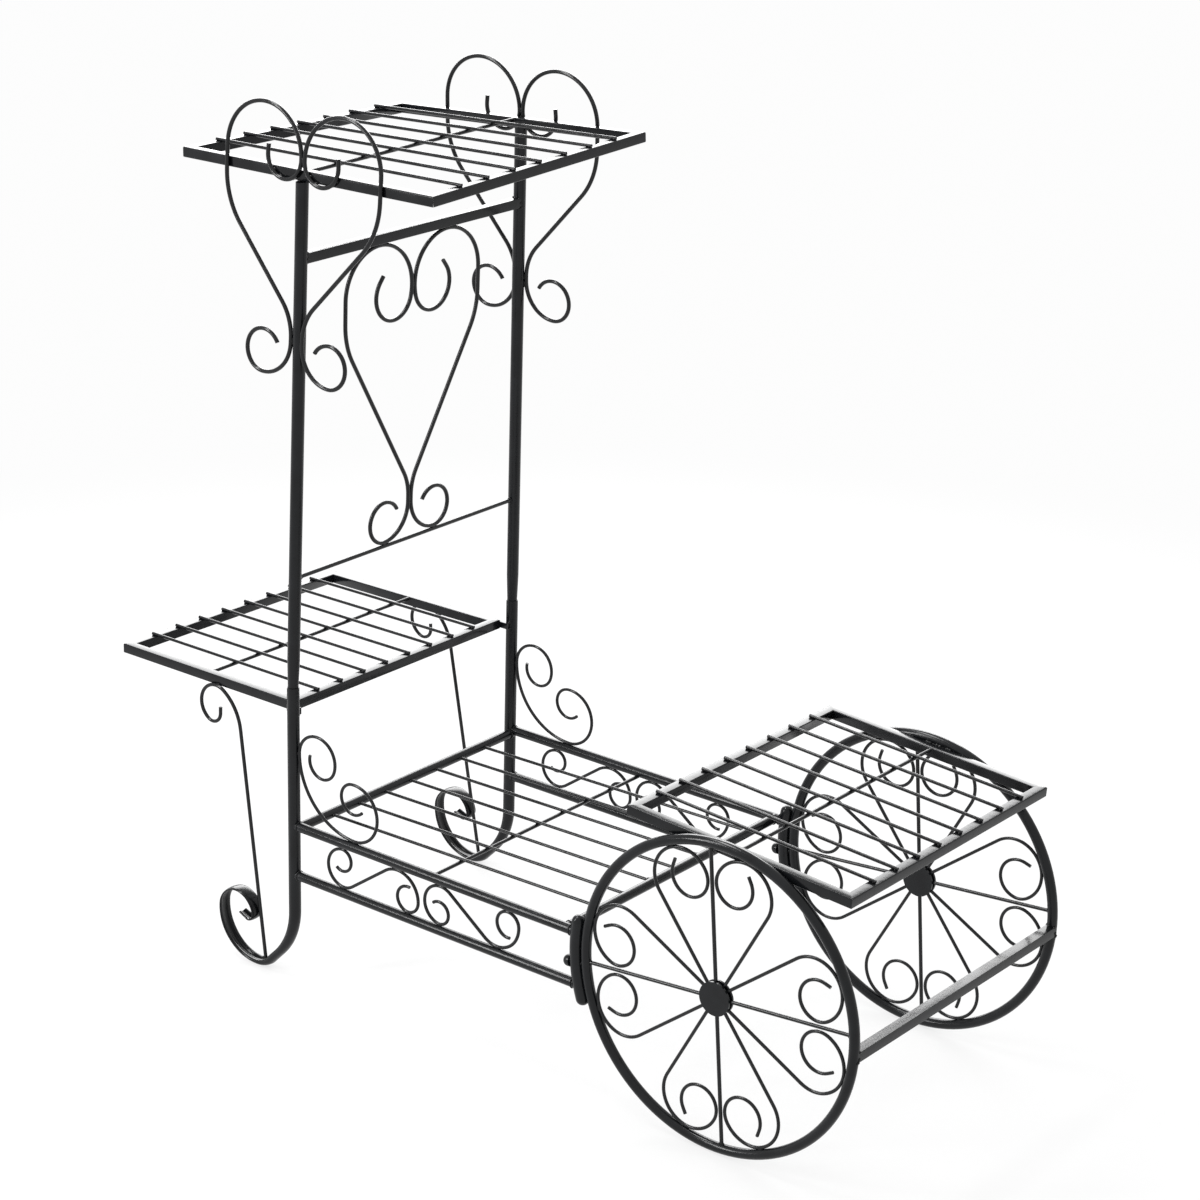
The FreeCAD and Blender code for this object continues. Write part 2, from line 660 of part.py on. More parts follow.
tube_envelopes = [rod(f"{cell('rail_outer')} / 2", *across(rear_tube_x, rear_tube_height)),
                  rod(f"{cell('rail_outer')} / 2", *across(front_tube_x, front_tube_height))]
slat_rear_height = rear_tube_height - size["bottom_slat_drop"]
slat_front_height = front_tube_height + size["bottom_slat_rise"]
bottom_slats = []
for index in range(int(size["bottom_slats"])):
    y = (index - (size["bottom_slats"] - 1) / 2) * size["bottom_slat_pitch"]
    bottom_slats.append(rod(f"{cell('slat_diameter')} / 2",
                            Vector(rear_tube_x, y, slat_rear_height),
                            Vector(front_tube_x, y, slat_front_height)))
finish("bottom_shelf_slats", cut(group(*bottom_slats), *tube_envelopes))

cross_height = ((slat_rear_height + slat_front_height) / 2 - size["slat_diameter"] / 2
                - size["cross_rod_diameter"] / 2 + sink)
cross_x = (rear_tube_x + front_tube_x) / 2
cross_ends = [Vector(cross_x, sign * (half_track - rail_radius / 2), cross_height)
              for _, sign in SIDES]
cross_rod = rod(f"{cell('cross_rod_diameter')} / 2", *cross_ends)
finish("bottom_shelf_cross_rod", cut(cross_rod, *upper_rails))


# ---------------------------------------------------------------- lugs of the middle shelf

def shelf_lug(sign):
    """Flat lug between the side of the middle shelf and the inside of the lower post."""
    inner = size["middle_shelf_width"] / 2 - sink
    outer = half_track - post_radius + sink
    lug = hidden("Part::Box", Length=cell("lug_length"), Height=cell("lug_height"))
    lug.Width = outer - inner
    corner_y = inner if sign > 0 else -outer
    middle = size["middle_shelf_height"] - size["shelf_tube"] / 2
    lug.Placement = at(post_x + size["lug_lap"] - size["lug_length"], corner_y,
                       middle - size["lug_height"] / 2)
    return lug


finish("middle_shelf_lugs", group(*[shelf_lug(sign) for _, sign in SIDES]))


# ---------------------------------------------------------------- scrolls of the side frames

wire_radius = size["scroll_wire"] / 2
wave_low = size["lower_rail_height"] + rail_radius + wire_radius - sink
wave_high = size["upper_rail_height"] - rail_radius - wire_radius + sink
wave_clear = wave_high - wave_low
wave_first_radius = wave_clear / 2
wave_second_radius = wave_clear * SECOND_LOOP_SHARE
wave_length = wave_first_radius + size["wave_gap"] + wave_second_radius
wave_pitch = wave_first_radius + wave_length + wave_second_radius + size["wave_spacing"]


def corner_scroll():
    """C-shaped scroll whose back touches both the post and the upper side rail."""
    radius = size["corner_back_radius"]
    back = (post_radius + wire_radius - sink + radius, rail_top + wire_radius - sink + radius,
            radius, 1)
    upper = nested(back, size["corner_upper_radius"], BACKWARD)
    lower = nested(back, size["corner_lower_radius"], DOWNWARD)
    tip = nested(upper, size["corner_upper_curl"], size["corner_upper_angle"])
    tail = nested(lower, size["corner_lower_curl"], size["corner_lower_angle"])
    return path_wire([tip, upper, back, lower, tail],
                     size["corner_upper_end"], size["corner_lower_end"])


def wave_scroll(flip):
    """S-shaped scroll that touches both side rails; flip turns it upside down."""
    middle = (wave_low + wave_high) / 2
    first = (size["wave_reach"], middle, wave_first_radius, 1)
    curl = nested(first, size["wave_curl"], size["wave_curl_angle"])
    second = (size["wave_reach"] + wave_length, wave_high - wave_second_radius,
              wave_second_radius, -1)
    last = nested(second, wave_clear * LAST_CURL_SHARE, FORWARD)
    circles = [curl, first, second, last]
    angles = [size["wave_first_end"], size["wave_last_end"]]
    if flip:
        circles = [(x, 2 * middle - z, radius, -turn) for x, z, radius, turn in circles]
        angles = [-angle for angle in angles]
    return path_wire(circles, *angles)


for end, sign in SIDES:
    y = sign * half_track
    finish(f"corner_scroll_{end}", bent_wire("scroll_wire", corner_scroll(), at(post_x, y)))
    finish(f"rear_wave_scroll_{end}", bent_wire("scroll_wire", wave_scroll(False), at(post_x, y)))
    finish(f"front_wave_scroll_{end}",
           bent_wire("scroll_wire", wave_scroll(True), at(post_x + wave_pitch, y)))


# ---------------------------------------------------------------- foot braces

def foot_brace(sign):
    """Hooked rod from the side of the middle shelf down to the bottom of the scroll foot."""
    wire = size["brace_wire"] / 2
    shelf_side = size["middle_shelf_width"] / 2 + wire - sink
    underside = size["middle_shelf_height"] - size["shelf_tube"]
    crown = underside + size["brace_rise"]
    loop = (-size["brace_loop_back"], crown - size["brace_loop_radius"],
            size["brace_loop_radius"], -1)
    curl = nested(loop, size["brace_curl_radius"], size["brace_curl_angle"])
    tip = (curl[0] + curl[2], curl[1] + size["brace_tip_run"], 0.0, -1)
    shoulder = nested(loop, size["brace_shoulder_radius"], size["brace_shoulder_angle"])
    foot_rest = heel_height - math.sqrt(
        (size["foot_heel_radius"] - heel_half_thickness) ** 2
        - (size["brace_foot_back"] - size["foot_heel_back"]) ** 2)
    end_point = (-size["brace_foot_back"], foot_rest - sink, 0.0, -1)
    path = path_wire([tip, curl, loop, shoulder, end_point], FORWARD, FORWARD)
    lean = math.degrees(math.atan2(half_track - shelf_side, crown - foot_rest))
    tilt = Rotation(Vector(1, 0, 0), sign * lean)
    foot = Vector(post_x, sign * half_track, foot_rest)
    placement = Placement(foot, tilt).multiply(at(0, 0, -foot_rest))
    return bent_wire("brace_wire", path, placement)


for end, sign in SIDES:
    finish(f"foot_brace_{end}", foot_brace(sign))


# ---------------------------------------------------------------- hearts

heart_wire_radius = size["heart_wire"] / 2


def heart_half(touch, weld_height, sweep_height, crown, hook_radius, hook_angle):
    """Circles of half a heart on the +X side: lower curl, sweep, shoulder, hip, loop, hook.

    The wire's axis passes x = touch at the weld, and the top of the loop is at the crown.
    """
    sweep = (touch + size["heart_sweep_radius"], sweep_height, size["heart_sweep_radius"], -1)
    curl = nested(sweep, size["heart_curl_radius"], size["heart_curl_angle"])
    shoulder = (touch + size["heart_shoulder_radius"], weld_height,
                size["heart_shoulder_radius"], -1)
    loop = (heart_wire_radius - sink / 2 + size["heart_loop_radius"],
            crown - size["heart_loop_radius"], size["heart_loop_radius"], 1)
    hip = (loop[0] + loop[2] - size["heart_hip_radius"], loop[1] - size["heart_hip_drop"],
           size["heart_hip_radius"], 1)
    hook = nested(loop, hook_radius, hook_angle)
    return [curl, sweep, shoulder, hip, loop, hook]


def mirrored(circles, angles):
    """The same path on the other side of x = 0."""
    flipped = [(-x, z, radius, -turn) for x, z, radius, turn in circles]
    return flipped, [180 - angle for angle in angles]


def side_heart_half(end, sign, front):
    """Half a side heart, from the lower curl past the post and over the top shelf's rail.

    Its plane leans with the post, and inward from the weld to the side of the rail.
    """
    clearance = post_radius + heart_wire_radius - sink
    circles = heart_half(math.sqrt(clearance ** 2 - size["heart_weld_out"] ** 2), 0.0,
                         -size["heart_sweep_drop"],
                         size["heart_loop_height"] + size["heart_loop_radius"]
                         - size["heart_weld_height"],
                         size["heart_hook_radius"], size["heart_hook_angle"])
    angles = [size["heart_curl_end"], size["heart_hook_end"]]
    if not front:
        circles, angles = mirrored(circles, angles)
    path = path_wire(circles, *angles, tip_run=size["heart_tip_run"])
    weld = (post_axis(sign, size["heart_weld_height"])
            + Vector(0, sign * size["heart_weld_out"], 0))
    rail_top_height = top_rails[end].Base.z
    rail_side = Vector(post_axis(sign, rail_top_height).x,
                       sign * (size["top_shelf_width"] / 2 + heart_wire_radius - sink),
                       rail_top_height)
    lean = Rotation(Vector(1, 0, 0), Vector(), rail_side - weld, "ZXY")
    return bent_wire("heart_wire", path, Placement(weld, lean))


for end, sign in SIDES:
    for half, front in (("rear", False), ("front", True)):
        finish(f"side_heart_{end}_{half}", side_heart_half(end, sign, front))


# ---------------------------------------------------------------- back panel

def upper_envelope(sign):
    """The outside of an upper post above its taper."""
    return rod(f"{cell('post_outer')} / 2",
               post_axis(sign, size["socket_height"] + size["swage_length"]),
               post_axis(sign, size["top_shelf_height"]))


def square_bar(centre, length, *ends):
    """Square tube across the stand, its ends shaped to what it is welded to."""
    side = size["shelf_tube"]
    inside = f"{cell('shelf_tube')} - 2 * {cell('shelf_wall')}"
    skin = hidden("Part::Box", Length=cell("shelf_tube"), Height=cell("shelf_tube"), Width=length)
    skin.Placement = at(centre.x - side / 2, -length / 2, centre.z - side / 2)
    bore = hidden("Part::Box", Length=inside, Height=inside, Width=length)
    bore.Placement = skin.Placement.multiply(at(size["shelf_wall"], 0, size["shelf_wall"]))
    return cut(skin, bore, *ends)


upper_envelopes = [upper_envelope(sign) for _, sign in SIDES]
bar_ends = [post_axis(sign, size["back_bar_height"]) for _, sign in SIDES]
rod_ends = [post_axis(sign, size["back_rod_height"]) for _, sign in SIDES]
finish("back_top_bar",
       square_bar(bar_ends[0], (bar_ends[1] - bar_ends[0]).Length, *upper_envelopes))
finish("back_lower_rod",
       cut(rod(f"{cell('back_rod_diameter')} / 2", *rod_ends), *upper_envelopes))


def back_heart_half(far):
    """Half of the back heart, from the rod up to the underside of the bar."""
    crown = (size["back_bar_height"] - size["shelf_tube"] / 2 - heart_wire_radius + sink
             - size["back_rod_height"])
    foot = size["back_rod_diameter"] / 2 + heart_wire_radius - sink
    circles = heart_half(heart_wire_radius - sink / 2, size["back_weld_rise"],
                         foot + size["heart_sweep_radius"], crown,
                         size["back_hook_radius"], size["back_hook_angle"])
    angles = [size["heart_curl_end"], size["back_hook_end"]]
    if not far:
        circles, angles = mirrored(circles, angles)
    path = path_wire(circles, *angles, tip_run=size["heart_tip_run"])
    lean = math.degrees(math.atan2(bar_ends[0].x - rod_ends[0].x,
                                   size["back_bar_height"] - size["back_rod_height"]))
    across_y = Rotation(Vector(0, 1, 0), lean).multiply(Rotation(UP, 90))
    return bent_wire("heart_wire", path, at(rod_ends[0].x, 0, size["back_rod_height"], across_y))


for end, far in (("near", False), ("far", True)):
    finish(f"back_heart_{end}", back_heart_half(far))


# ---------------------------------------------------------------- wheels

def wheel_scroll(spoke_angle, hand):
    """Half a heart beside a spoke: hub to rim to spoke, with a curl; hand is its side."""
    wire = size["wheel_wire"] / 2
    loop_radius = size["wheel_loop_radius"]
    beside = size["spoke_diameter"] / 2 + wire - sink + loop_radius
    inside_rim = rim_path_radius - rim_radius - wire + sink - loop_radius
    loop = (math.sqrt(inside_rim ** 2 - beside ** 2), beside, loop_radius, -1)
    start_reach = size["hub_diameter"] / 2 - size["hub_lap"]
    diagonal = math.sqrt(0.5)
    start = ((start_reach + wire) * diagonal, (start_reach - wire) * diagonal, 0.0, -1)
    curl = nested(loop, size["wheel_curl_radius"], size["wheel_curl_start"])
    circles = [start, loop, curl]
    angles = [90, size["wheel_curl_end"]]
    if hand < 0:
        circles = [(x, -z, radius, -turn) for x, z, radius, turn in circles]
        angles = [-angle for angle in angles]
    spin = Rotation(Vector(0, 1, 0), -spoke_angle)
    return path_wire(circles, *angles, tip_run=size["wheel_tip_run"]), spin


def wheel(end, sign):
    hub = Vector(wheel_x, sign * half_track, wheel_z)
    skin = ring(rim_path_radius, f"{cell('rim_outer')} / 2", hub)
    bore = ring(rim_path_radius, f"{cell('rim_outer')} / 2 - {cell('rim_wall')}", hub)
    hole = rod(f"{cell('bolt_shank')} / 2",
               *bolt_line(sign, rim_path_radius, size["wheel_radius"] + rim_radius))
    finish(f"wheel_rim_{end}", cut(skin, bore, hole))

    spokes = []
    scrolls = []
    for quarter in range(SPOKES):
        angle = size["wheel_turn"] + QUARTER_TURN * quarter
        tip = rim_path_radius - rim_radius + sink
        ends = [hub + run(angle, reach) for reach in (size["spoke_start"], tip)]
        spokes.append(rod(f"{cell('spoke_diameter')} / 2", *ends))
        for hand in (-1, 1):
            path, spin = wheel_scroll(angle, hand)
            scrolls.append(bent_wire("wheel_wire", path, Placement(hub, spin)))
    finish(f"wheel_spokes_{end}", group(*spokes))
    finish(f"wheel_scrolls_{end}", group(*scrolls))

    discs = []
    inner_face = size["spoke_diameter"] / 2 - sink
    for face in (-1, 1):
        near_face = hub + Vector(0, face * inner_face, 0)
        far_face = near_face + Vector(0, face * size["hub_thickness"], 0)
        discs.append(rod(f"{cell('hub_diameter')} / 2", near_face, far_face))
    finish(f"wheel_hub_discs_{end}", group(*discs))


for end, sign in SIDES:
    wheel(end, sign)

rim_envelopes = [ring(rim_path_radius, f"{cell('rim_outer')} / 2",
                      Vector(wheel_x, sign * half_track, wheel_z)) for _, sign in SIDES]
bar_centre = Vector(wheel_x, 0, wheel_z) + run(-size["crossbar_drop"], rim_path_radius)
finish("front_crossbar", square_bar(bar_centre, size["track_width"], *rim_envelopes))


# ---------------------------------------------------------------- check and export

doc.recompute()
for thing in doc.Objects:
    if "Invalid" in thing.State or "Error" in thing.State:
        raise RuntimeError(f"{thing.Name} ({thing.Label}) did not rebuild: {thing.State}")
for thing in nodes:
    if thing.Shape.isNull() or not thing.Shape.isValid() or not thing.Shape.Solids:
        raise RuntimeError(f"{thing.Label} has no valid solid")

os.makedirs("parts", exist_ok=True)
for thing in nodes:
    thing.Shape.exportStep(f"parts/{thing.Label}.step")
print(len(nodes), "sub-parts written")
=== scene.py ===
"""Looks of the flower cart stand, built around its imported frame. Metres, +Z up."""

import math
import random

import bmesh
import bpy
import numpy as np
from mathutils import Matrix, Vector, noise
from mathutils.bvhtree import BVHTree
from mathutils.geometry import intersect_line_line


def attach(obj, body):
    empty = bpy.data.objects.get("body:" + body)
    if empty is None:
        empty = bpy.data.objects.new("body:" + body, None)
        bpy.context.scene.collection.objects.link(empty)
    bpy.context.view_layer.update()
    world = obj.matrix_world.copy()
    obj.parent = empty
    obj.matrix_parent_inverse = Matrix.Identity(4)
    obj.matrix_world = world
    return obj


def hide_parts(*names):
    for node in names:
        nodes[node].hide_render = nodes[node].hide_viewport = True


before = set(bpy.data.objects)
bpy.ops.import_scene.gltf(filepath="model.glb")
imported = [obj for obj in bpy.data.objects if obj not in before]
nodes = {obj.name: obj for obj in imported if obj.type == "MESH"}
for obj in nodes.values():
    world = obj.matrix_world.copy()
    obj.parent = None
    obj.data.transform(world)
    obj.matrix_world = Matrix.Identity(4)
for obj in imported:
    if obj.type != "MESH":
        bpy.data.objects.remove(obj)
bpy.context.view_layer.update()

MM = 0.001
SIDES = (("near", -1), ("far", 1))
SHELVES = ("top_shelf", "middle_shelf", "front_shelf")
RAIL_PLACES = ("far", "front", "near", "rear")


# ---------------------------------------------------------------- materials

COAT_SCALE, LUMP_SCALE, SPECK_SCALE, PEEL_SCALE = 38.0, 140.0, 260.0, 620.0    # per metre
DARKER, LIGHTER = 0.75, 1.35    # of the base colour, between the ends of the coat's noise
DUST_COLOUR = (0.10, 0.098, 0.096, 1)
ROUGHNESS_SPREAD = 0.1
PAINT_IOR = 1.5


def node_setter(owner):
    """A short way to add a node with inputs to the tree of a material or world."""
    tree = owner.node_tree

    def add(kind, inputs=(), **settings):
        node = tree.nodes.new(kind)
        for key, value in settings.items():
            setattr(node, key, value)
        for key, value in dict(inputs).items():
            if isinstance(value, bpy.types.NodeSocket):
                tree.links.new(value, node.inputs[key])
            else:
                node.inputs[key].default_value = value
        return node

    return add


def black_paint(name, base, gloss, peel, dust, specular=0.24):
    """Glossy black paint: uneven coat, fine orange peel, a little dust where it faces up."""
    material = bpy.data.materials.new(name)
    material.use_nodes = True
    tree = material.node_tree
    shader = tree.nodes["Principled BSDF"]
    add = node_setter(material)
    place = add("ShaderNodeTexCoord").outputs["Object"]
    coat = add("ShaderNodeTexNoise", {"Vector": place, "Scale": COAT_SCALE, "Detail": 4.0})
    fine = add("ShaderNodeTexNoise", {"Vector": place, "Scale": PEEL_SCALE, "Detail": 2.0})
    lumps = add("ShaderNodeTexNoise", {"Vector": place, "Scale": LUMP_SCALE, "Detail": 3.0})
    specks = add("ShaderNodeTexVoronoi", {"Vector": place, "Scale": SPECK_SCALE})

    colour = add("ShaderNodeValToRGB", {"Fac": coat.outputs["Fac"]})
    for stop, position, factor in zip(colour.color_ramp.elements, (0.35, 0.7),
                                      (DARKER, LIGHTER)):
        stop.position = position
        stop.color = (*[c * factor for c in base], 1)

    up = add("ShaderNodeSeparateXYZ", {"Vector": add("ShaderNodeNewGeometry").outputs["Normal"]})
    facing_up = add("ShaderNodeMapRange", {"Value": up.outputs["Z"], "From Min": 0.3,
                                           "From Max": 1.0, "To Min": 0.0, "To Max": dust})
    grain = add("ShaderNodeMath", {0: fine.outputs["Fac"], 1: facing_up.outputs["Result"]},
                operation="MULTIPLY")
    dusty = add("ShaderNodeMixRGB", {"Fac": grain.outputs["Value"],
                                     "Color1": colour.outputs["Color"],
                                     "Color2": DUST_COLOUR})
    tree.links.new(dusty.outputs["Color"], shader.inputs["Base Color"])

    rough = add("ShaderNodeMapRange", {"Value": coat.outputs["Fac"], "From Min": 0.3,
                                       "From Max": 0.75, "To Min": gloss,
                                       "To Max": gloss + ROUGHNESS_SPREAD})
    tree.links.new(rough.outputs["Result"], shader.inputs["Roughness"])

    bump_fine = add("ShaderNodeBump", {"Height": fine.outputs["Fac"], "Strength": peel,
                                       "Distance": 0.0002})
    bump_lumps = add("ShaderNodeBump", {"Height": lumps.outputs["Fac"], "Strength": 0.18,
                                        "Distance": 0.0006, "Normal": bump_fine.outputs["Normal"]})
    bump_specks = add("ShaderNodeBump", {"Height": specks.outputs["Distance"], "Strength": 0.05,
                                         "Distance": 0.0003,
                                         "Normal": bump_lumps.outputs["Normal"]})
    tree.links.new(bump_specks.outputs["Normal"], shader.inputs["Normal"])
    shader.inputs["IOR"].default_value = PAINT_IOR
    shader.inputs["Specular IOR Level"].default_value = specular
    return material


TUBE_PAINT = black_paint("tube_paint", (0.0060, 0.0066, 0.0078), 0.14, 0.14, 0.05)
WIRE_PAINT = black_paint("wire_paint", (0.0045, 0.0049, 0.0058), 0.13, 0.18, 0.04, 0.32)
WELD_PAINT = black_paint("weld_paint", (0.0045, 0.0047, 0.0054), 0.22, 0.50, 0.03)
FOOT_PAINT = black_paint("foot_paint", (0.0055, 0.0060, 0.0070), 0.16, 0.22, 0.08)

for name, thing in nodes.items():
    thin = any(word in name for word in ("scroll", "heart", "slats", "rod", "spokes", "brace"))
    paint = WIRE_PAINT if thin else TUBE_PAINT
    thing.data.materials.clear()
    thing.data.materials.append(paint)


def add_piece(name, mesh, paint, *replaced):
    """Link a finished mesh as a piece of the object."""
    mesh.materials.append(paint)
    piece = bpy.data.objects.new(name, mesh)
    bpy.context.scene.collection.objects.link(piece)
    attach(piece, "root")
    if replaced:
        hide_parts(*replaced)
    return piece


def mesh_from(bm, name, smooth=True):
    """A mesh of the bmesh, which is freed."""
    mesh = bpy.data.meshes.new(name)
    bmesh.ops.recalc_face_normals(bm, faces=bm.faces)
    bm.to_mesh(mesh)
    bm.free()
    if smooth:
        mesh.shade_smooth()
    return mesh


# ---------------------------------------------------------------- square tubes

EDGE_RADIUS = 1.3 * MM
EDGE_SEGMENTS = 4
FLAT_ANGLE = math.radians(2)
TUBE_CREASE, POST_CREASE = math.radians(50), math.radians(60)
MERGE = 1e-6
LONG_SHARE = 0.8    # edges longer than this share of the longest run along the tube


def rounded_bar(bm, node):
    """The outside of a square tube with rounded long edges, from the node's own corners."""
    source = bmesh.new()
    for vertex in nodes[node].data.vertices:
        source.verts.new(vertex.co)
    bmesh.ops.remove_doubles(source, verts=source.verts, dist=MERGE)
    hull = bmesh.ops.convex_hull(source, input=source.verts)
    inside = {g for g in hull["geom_interior"] + hull["geom_unused"]
              if isinstance(g, bmesh.types.BMVert)}
    bmesh.ops.delete(source, geom=list(inside), context="VERTS")
    bmesh.ops.dissolve_limit(source, angle_limit=FLAT_ANGLE, verts=source.verts,
                             edges=source.edges)
    longest = max(edge.calc_length() for edge in source.edges)
    long_edges = [edge for edge in source.edges if edge.calc_length() > LONG_SHARE * longest]
    bmesh.ops.bevel(source, geom=long_edges, offset=EDGE_RADIUS, segments=EDGE_SEGMENTS,
                    profile=0.5, affect="EDGES", clamp_overlap=True)
    mesh = bpy.data.meshes.new("bar")
    source.to_mesh(mesh)
    source.free()
    bm.from_mesh(mesh)
    bpy.data.meshes.remove(mesh)


def square_tubes(name, members):
    """The skins of several square tubes as one piece that replaces them."""
    bm = bmesh.new()
    for member in members:
        rounded_bar(bm, member)
    mesh = mesh_from(bm, name)
    mesh.set_sharp_from_angle(angle=TUBE_CREASE)
    return add_piece(name, mesh, TUBE_PAINT, *members)


for shelf in SHELVES:
    square_tubes(f"{shelf}_frame", [f"{shelf}_{place}_rail" for place in RAIL_PLACES])
square_tubes("back_bar_skin", ["back_top_bar"])
square_tubes("crossbar_skin", ["front_crossbar"])


# ---------------------------------------------------------------- lower posts with crushed feet

# Sizes of the part. The centre line lies in the plane of a post: circles (x, z, radius), x from
# the post axis, all turned the same way.
POST_X = -257.75 * MM
TRACK = 200 * MM
POST_RADIUS = 7.5 * MM
MOUTH = 380 * MM
BORE_RADIUS = 6.5 * MM
LIP_ROUNDING = 0.05 * MM
BORE_DEPTH = 25 * MM
HALF_FLAT = 2.0 * MM
HALF_WIDE = 9.25 * MM
FLAT_TURN = 150.0    # degrees that the path has turned when the tube is quite flat
HEEL_HALF = POST_RADIUS + 90 / FLAT_TURN * (HALF_FLAT - POST_RADIUS)
BEND = (-90 * MM, None, 90 * MM)
HEEL = (-60 * MM, 28 * MM + HEEL_HALF, 28 * MM)
SOLE = (-62 * MM, 57 * MM + HEEL_HALF, 57 * MM)
FOOT_STRAIGHT = 21 * MM
bend_height = HEEL[1] + math.sqrt((BEND[2] - HEEL[2]) ** 2 + FOOT_STRAIGHT ** 2
                                  - (BEND[0] - HEEL[0]) ** 2)
BEND = (BEND[0], bend_height, BEND[2])


def inner_circle(outer, radius, angle):
    """A smaller circle that touches another from inside at an angle."""
    reach = outer[2] - radius
    return (outer[0] + reach * math.cos(math.radians(angle)),
            outer[1] + reach * math.sin(math.radians(angle)), radius)


LOOP = inner_circle(SOLE, 27.5 * MM, 175.5)
CURL = inner_circle(LOOP, 9.5 * MM, 10.0)
CURL_END = -112.0
FULL_TURN = 359.9         # a sweep above this is none
TIP_RUN = 12 * MM
TIP_STEPS = 4
STRAIGHT_STEPS = 6
TURN_STEP = 4.0           # degrees between two sections
LEAST_STEP = 0.2 * MM
NARROW_FROM, NARROWING = 0.88, 0.28    # share of the path where the tip narrows, and how much
DENT_DEPTH = 1.425        # dent in the flat side, of its half thickness
DENT_WIDTH = 0.5          # of its half width


def clockwise_path(circles, start_angle, end_angle, step):
    """Points and headings of a path that turns clockwise round each circle in turn."""
    points = []
    arrive = start_angle
    for index, (x, z, radius) in enumerate(circles):
        if index + 1 < len(circles):
            nx, nz, next_radius = circles[index + 1]
            distance = math.hypot(nx - x, nz - z)
            lean = max(-1.0, min(1.0, (radius - next_radius) / distance))
            heading = math.degrees(math.atan2(nz - z, nx - x) - math.asin(lean))
            leave = heading + 90
        else:
            leave = end_angle
        sweep = (arrive - leave) % 360
        if sweep > FULL_TURN:
            sweep = 0.0
        count = max(1, math.ceil(sweep / step))
        for k in range(count + 1):
            angle = math.radians(arrive - sweep * k / count)
            points.append((x + radius * math.cos(angle), z + radius * math.sin(angle),
                           math.degrees(angle) - 90))
        arrive = leave
    return points


def crushed_section(turned, along, count=36):
    """Outline (across, outward) of the tube: round at first, then flat with a dented inside."""
    flat = min(1.0, turned / FLAT_TURN)
    share = max(0.0, flat)
    share = share * share * (3 - 2 * share)
    thick = POST_RADIUS + flat * (HALF_FLAT - POST_RADIUS)
    wide = POST_RADIUS + flat * (HALF_WIDE - POST_RADIUS)
    wide *= 1 - NARROWING * max(0.0, (along - NARROW_FROM) / (1 - NARROW_FROM))
    outline = []
    for k in range(count):
        angle = 2 * math.pi * k / count
        across = wide * math.cos(angle)
        outward = thick * math.sin(angle)
        if outward < 0:
            outward += (share * DENT_DEPTH * thick
                        * math.exp(-(across / (DENT_WIDTH * wide)) ** 2))
        outline.append((across, outward))
    return outline


def bridge(bm, rings):
    """Faces from each ring of points to the next."""
    for first, second in zip(rings, rings[1:]):
        for k in range(len(first)):
            bm.faces.new((first[k], first[k - 1], second[k - 1], second[k]))


def lower_post(end, sign):
    """The whole lower post: open mouth, straight tube, bend, and the flattened scroll."""
    path = [(0.0, MOUTH, -90.0)]
    path += [(0.0, MOUTH - (MOUTH - BEND[1]) * k / STRAIGHT_STEPS, -90.0)
             for k in range(1, STRAIGHT_STEPS)]
    path += clockwise_path([BEND, HEEL, SOLE, LOOP, CURL], 0, CURL_END, TURN_STEP)
    x, z, heading = path[-1]
    for k in range(1, TIP_STEPS + 1):
        run = TIP_RUN * k / TIP_STEPS
        path.append((x + run * math.cos(math.radians(heading)),
                     z + run * math.sin(math.radians(heading)), heading))
    kept = [path[0]]
    for item in path[1:]:
        if math.hypot(item[0] - kept[-1][0], item[1] - kept[-1][1]) > LEAST_STEP:
            kept.append(item)
    bm = bmesh.new()
    rings = []
    turned = 0.0
    before = kept[0][2]
    for index, (x, z, heading) in enumerate(kept):
        turned += (before - heading + 180) % 360 - 180
        before = heading
        outward_x = math.cos(math.radians(heading + 90))
        outward_z = math.sin(math.radians(heading + 90))
        ring = []
        for across, outward in crushed_section(turned, index / (len(kept) - 1)):
            ring.append(bm.verts.new((POST_X + x + outward * outward_x,
                                      sign * TRACK + across, z + outward * outward_z)))
        rings.append(ring)
    bridge(bm, rings)
    bm.faces.new(rings[-1])
    lip = []
    for radius, z in ((BORE_RADIUS + LIP_ROUNDING, MOUTH), (BORE_RADIUS, MOUTH - BORE_DEPTH)):
        lip.append([bm.verts.new((POST_X + (v.co.x - POST_X) * radius / POST_RADIUS,
                                  sign * TRACK + (v.co.y - sign * TRACK) * radius / POST_RADIUS,
                                  z)) for v in rings[0]])
    bridge(bm, [rings[0], *lip])
    mesh = mesh_from(bm, f"lower_post_{end}_skin")
    mesh.set_sharp_from_angle(angle=POST_CREASE)
    return add_piece(f"lower_post_{end}_skin", mesh, FOOT_PAINT, f"lower_post_{end}")


for end, sign in SIDES:
    lower_post(end, sign)


# ---------------------------------------------------------------- weld beads

random.seed(7)
END_SHARE = 0.02        # points this near to a rod's end, of its length, are its end
LUMP_BULGE, LUMP_NOISE = 0.28, 1.3
BEAD_SPREAD, RING_SPREAD = (0.85, 1.1), (0.8, 1.15)    # size of a drop, of its nominal size
RING_STRETCH, BAR_STRETCH, POST_STRETCH = 1.4, 1.6, 1.5
LUMP_SPREAD = 50        # range of the places in the noise that lumps take their form from
DROP_PITCH = 1.1        # drop to drop of a bead, in drops
DROP_JITTER = 0.15
X_AXIS, Y_AXIS, Z_AXIS = Vector((1, 0, 0)), Vector((0, 1, 0)), Vector((0, 0, 1))


